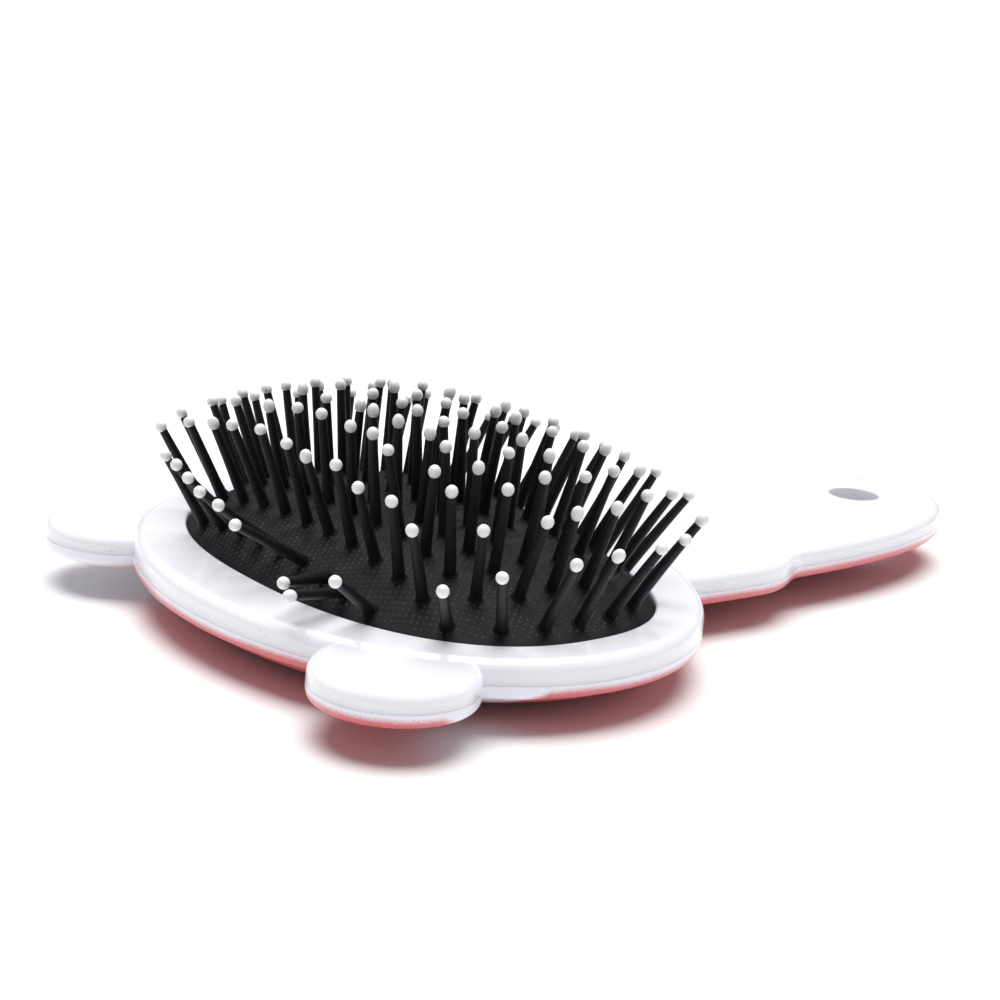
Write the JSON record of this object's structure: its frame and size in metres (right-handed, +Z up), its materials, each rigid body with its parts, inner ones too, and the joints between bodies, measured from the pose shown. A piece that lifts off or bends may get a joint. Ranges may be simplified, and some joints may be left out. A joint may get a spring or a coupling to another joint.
{
  "type": "cushion hairbrush",
  "caption": "Flat cushion hairbrush: two-shell plastic body with round ear lobes, sprung rubber cushion, rows of ball-tipped pins and a hanging hole in the handle.",
  "frame": {"origin": "centre of the footprint at the rest face", "axes": "+X along the handle, away from the head; +Z up, the way the pins point; +Y across the head"},
  "size_m": [0.1566, 0.1008, 0.0357],
  "materials": {
    "white_gloss": "glossy moulded white plastic",
    "blush_gloss": "white plastic sprayed coral pink, speckled where the spray fades out",
    "black_rubber": "matte rubber with a fine raised dot texture",
    "black_nylon": "satin black nylon pins",
    "pin_ball": "dipped white ball tips",
    "grey_plastic": "plain moulded plastic, hidden inside"
  },
  "bodies": {
    "casing": {"front_shell": "white_gloss", "back_shell": "blush_gloss", "cushion_retainer": "grey_plastic"},
    "cushion": {"cushion_pad": "black_rubber"},
    "pin_row_1_left": {"pin_row_1_left": "black_nylon"},
    "pin_row_1_right": {"pin_row_1_right": "black_nylon"},
    "pin_row_2_left": {"pin_row_2_left": "black_nylon"},
    "pin_row_2_right": {"pin_row_2_right": "black_nylon"},
    "pin_row_3_left": {"pin_row_3_left": "black_nylon"},
    "pin_row_3_right": {"pin_row_3_right": "black_nylon"},
    "pin_row_4_left": {"pin_row_4_left": "black_nylon"},
    "pin_row_4_right": {"pin_row_4_right": "black_nylon"},
    "pin_row_5_left": {"pin_row_5_left": "black_nylon"},
    "pin_row_5_right": {"pin_row_5_right": "black_nylon"},
    "pin_row_6_left": {"pin_row_6_left": "black_nylon"},
    "pin_row_6_right": {"pin_row_6_right": "black_nylon"},
    "pin_row_7_left": {"pin_row_7_left": "black_nylon"},
    "pin_row_7_right": {"pin_row_7_right": "black_nylon"},
    "pin_row_8_left": {"pin_row_8_left": "black_nylon"},
    "pin_row_8_right": {"pin_row_8_right": "black_nylon"},
    "pin_row_9_left": {"pin_row_9_left": "black_nylon"},
    "pin_row_9_right": {"pin_row_9_right": "black_nylon"}
  },
  "joints": [
    {"name": "cushion_press", "type": "slide", "parent": "casing", "child": "cushion", "axis": [0, 0, -1], "range_m": [0, 0.0025], "stiffness_N_per_m": 4500, "springref_m": -0.0003, "deforming": ["cushion_pad"]},
    {"name": "tilt_1_left", "type": "hinge", "parent": "cushion", "child": "pin_row_1_left", "pos_m": [-0.06001, 0.01134, 0.01291], "axis": [0, 1, 0], "range_deg": [-8, 8], "stiffness_Nm_per_rad": 0.03},
    {"name": "tilt_1_right", "type": "hinge", "parent": "cushion", "child": "pin_row_1_right", "pos_m": [-0.06001, -0.01417, 0.01271], "axis": [0, 1, 0], "range_deg": [-8, 8], "stiffness_Nm_per_rad": 0.03},
    {"name": "tilt_2_left", "type": "hinge", "parent": "cushion", "child": "pin_row_2_left", "pos_m": [-0.05411, 0.01791, 0.01473], "axis": [0, 1, 0], "range_deg": [-8, 8], "stiffness_Nm_per_rad": 0.03},
    {"name": "tilt_2_right", "type": "hinge", "parent": "cushion", "child": "pin_row_2_right", "pos_m": [-0.05411, -0.01791, 0.01473], "axis": [0, 1, 0], "range_deg": [-8, 8], "stiffness_Nm_per_rad": 0.03},
    {"name": "tilt_3_left", "type": "hinge", "parent": "cushion", "child": "pin_row_3_left", "pos_m": [-0.04821, 0.01878, 0.01597], "axis": [0, 1, 0], "range_deg": [-8, 8], "stiffness_Nm_per_rad": 0.03},
    {"name": "tilt_3_right", "type": "hinge", "parent": "cushion", "child": "pin_row_3_right", "pos_m": [-0.04821, -0.02191, 0.01562], "axis": [0, 1, 0], "range_deg": [-8, 8], "stiffness_Nm_per_rad": 0.03},
    {"name": "tilt_4_left", "type": "hinge", "parent": "cushion", "child": "pin_row_4_left", "pos_m": [-0.04231, 0.02136, 0.01631], "axis": [0, 1, 0], "range_deg": [-8, 8], "stiffness_Nm_per_rad": 0.03},
    {"name": "tilt_4_right", "type": "hinge", "parent": "cushion", "child": "pin_row_4_right", "pos_m": [-0.04231, -0.02136, 0.01631], "axis": [0, 1, 0], "range_deg": [-8, 8], "stiffness_Nm_per_rad": 0.03},
    {"name": "tilt_5_left", "type": "hinge", "parent": "cushion", "child": "pin_row_5_left", "pos_m": [-0.03641, 0.02009, 0.01654], "axis": [0, 1, 0], "range_deg": [-8, 8], "stiffness_Nm_per_rad": 0.03},
    {"name": "tilt_5_right", "type": "hinge", "parent": "cushion", "child": "pin_row_5_right", "pos_m": [-0.03641, -0.02344, 0.01617], "axis": [0, 1, 0], "range_deg": [-8, 8], "stiffness_Nm_per_rad": 0.03},
    {"name": "tilt_6_left", "type": "hinge", "parent": "cushion", "child": "pin_row_6_left", "pos_m": [-0.03051, 0.02136, 0.01631], "axis": [0, 1, 0], "range_deg": [-8, 8], "stiffness_Nm_per_rad": 0.03},
    {"name": "tilt_6_right", "type": "hinge", "parent": "cushion", "child": "pin_row_6_right", "pos_m": [-0.03051, -0.02136, 0.01631], "axis": [0, 1, 0], "range_deg": [-8, 8], "stiffness_Nm_per_rad": 0.03},
    {"name": "tilt_7_left", "type": "hinge", "parent": "cushion", "child": "pin_row_7_left", "pos_m": [-0.02461, 0.01878, 0.01597], "axis": [0, 1, 0], "range_deg": [-8, 8], "stiffness_Nm_per_rad": 0.03},
    {"name": "tilt_7_right", "type": "hinge", "parent": "cushion", "child": "pin_row_7_right", "pos_m": [-0.02461, -0.02191, 0.01562], "axis": [0, 1, 0], "range_deg": [-8, 8], "stiffness_Nm_per_rad": 0.03},
    {"name": "tilt_8_left", "type": "hinge", "parent": "cushion", "child": "pin_row_8_left", "pos_m": [-0.01871, 0.01791, 0.01473], "axis": [0, 1, 0], "range_deg": [-8, 8], "stiffness_Nm_per_rad": 0.03},
    {"name": "tilt_8_right", "type": "hinge", "parent": "cushion", "child": "pin_row_8_right", "pos_m": [-0.01871, -0.01791, 0.01473], "axis": [0, 1, 0], "range_deg": [-8, 8], "stiffness_Nm_per_rad": 0.03},
    {"name": "tilt_9_left", "type": "hinge", "parent": "cushion", "child": "pin_row_9_left", "pos_m": [-0.01281, 0.01134, 0.01291], "axis": [0, 1, 0], "range_deg": [-8, 8], "stiffness_Nm_per_rad": 0.03},
    {"name": "tilt_9_right", "type": "hinge", "parent": "cushion", "child": "pin_row_9_right", "pos_m": [-0.01281, -0.01417, 0.01271], "axis": [0, 1, 0], "range_deg": [-8, 8], "stiffness_Nm_per_rad": 0.03}
  ]
}
